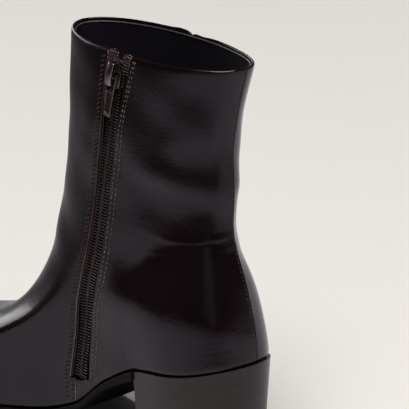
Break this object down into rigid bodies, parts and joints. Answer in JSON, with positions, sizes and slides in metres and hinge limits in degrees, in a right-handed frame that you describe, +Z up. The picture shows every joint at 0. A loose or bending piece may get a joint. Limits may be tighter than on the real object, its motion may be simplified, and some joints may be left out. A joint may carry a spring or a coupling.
{
  "type": "heeled ankle boot",
  "caption": "Right-foot ankle boot in glossy dark burgundy leather, with a block heel and an inner side zip whose pull tab swings.",
  "frame": {"origin": "on the floor, under the middle of the boot's box", "axes": "+Z up; the toe points along -Y, the heel along +Y; +X is the inner (medial) side with the zip"},
  "size_m": [0.0838, 0.247, 0.2046],
  "materials": {
    "upper_leather": "high-shine burgundy, almost black",
    "outsole_rubber": "satin black edge",
    "heel_block": "satin dark brown-grey",
    "insole_lining": "matt dark lining",
    "zip_fabric": "woven dark brown tape",
    "zip_coil": "dark brown coil",
    "zip_metal": "gunmetal"
  },
  "bodies": {
    "boot": {"upper": "upper_leather", "insole": "insole_lining", "outsole": "outsole_rubber", "heel": "heel_block", "zip_tape": "zip_fabric", "zip_chain": "zip_coil", "zip_slider": "zip_metal"},
    "pull_tab": {"zip_pull": "zip_metal"}
  },
  "joints": [
    {"name": "pull_swing", "type": "hinge", "parent": "boot", "child": "pull_tab", "pos_m": [0.02472, 0.05533, 0.19212], "axis": [-0.0517, -0.985, 0.1646], "range_deg": [0, 170]}
  ]
}
